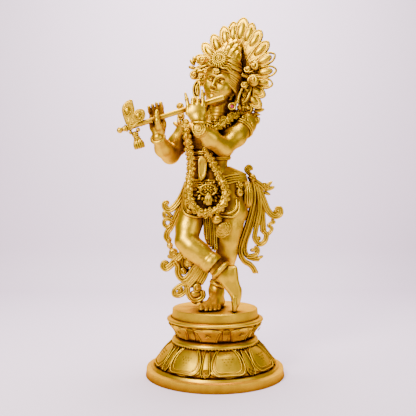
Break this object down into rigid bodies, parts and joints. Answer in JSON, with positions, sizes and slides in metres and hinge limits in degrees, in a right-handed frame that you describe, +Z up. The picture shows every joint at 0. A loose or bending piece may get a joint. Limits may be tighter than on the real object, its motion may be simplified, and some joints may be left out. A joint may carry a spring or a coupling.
{
  "type": "figurine",
  "caption": "Brass statue of a flute-playing deity with a feather crown, on a round double-lotus pedestal; the flute slides out.",
  "frame": {"origin": "middle of the flat underside of the pedestal", "axes": "+Z up, the figure faces -Y, +X is the figure's own left"},
  "size_m": [0.1737, 0.1478, 0.3822],
  "materials": {
    "brass": "satin antique gold, dark in the recesses",
    "red_stone": "faceted",
    "plated_steel": "plated"
  },
  "bodies": {
    "statue": {"foot_disc": "brass", "lower_lotus": "brass", "bead_ring": "brass", "upper_lotus": "brass", "plinth_drum": "brass", "lower_lotus_petals": "brass", "upper_lotus_petals": "brass", "foot_studs": "plated_steel", "foot_stud_washers": "plated_steel", "foot_stud_nuts": "plated_steel", "toe_pin": "brass", "hips": "brass", "torso": "brass", "belly_bands": "brass", "standing_leg": "brass", "standing_foot": "brass", "crossed_shin": "brass", "crossed_thigh": "brass", "crossed_foot": "brass", "right_forearm": "brass", "right_upper_arm": "brass", "right_hand": "brass", "left_forearm": "brass", "left_upper_arm": "brass", "left_hand": "brass", "armlets": "brass", "anklets": "brass", "bracelets": "brass", "shoulder_scrolls": "brass", "head": "brass", "neck": "brass", "hair": "brass", "crown_cap": "brass", "crown_band": "brass", "front_crest": "brass", "crown_fan": "brass", "feather_eyes": "brass", "crown_leaves": "brass", "earring_right": "brass", "earring_left": "brass", "earring_stone": "red_stone", "crown_scrolls_right": "brass", "crown_scrolls_left": "brass", "choker": "brass", "chest_necklace": "brass", "long_pendant": "brass", "garland": "brass", "belt": "brass", "belt_buckle": "brass", "front_tassel": "brass", "centre_pleats": "brass", "thigh_swags": "brass", "hip_tassel": "brass", "scarf_left": "brass", "scarf_right": "brass"},
    "flute": {"flute_tube": "brass", "flute_knob": "brass", "flute_feathers": "brass", "flute_tassel": "brass"}
  },
  "joints": [
    {"name": "flute_slide", "type": "slide", "parent": "statue", "child": "flute", "axis": [-0.94, -0.1197, -0.3195], "range_m": [0, 0.06]}
  ]
}
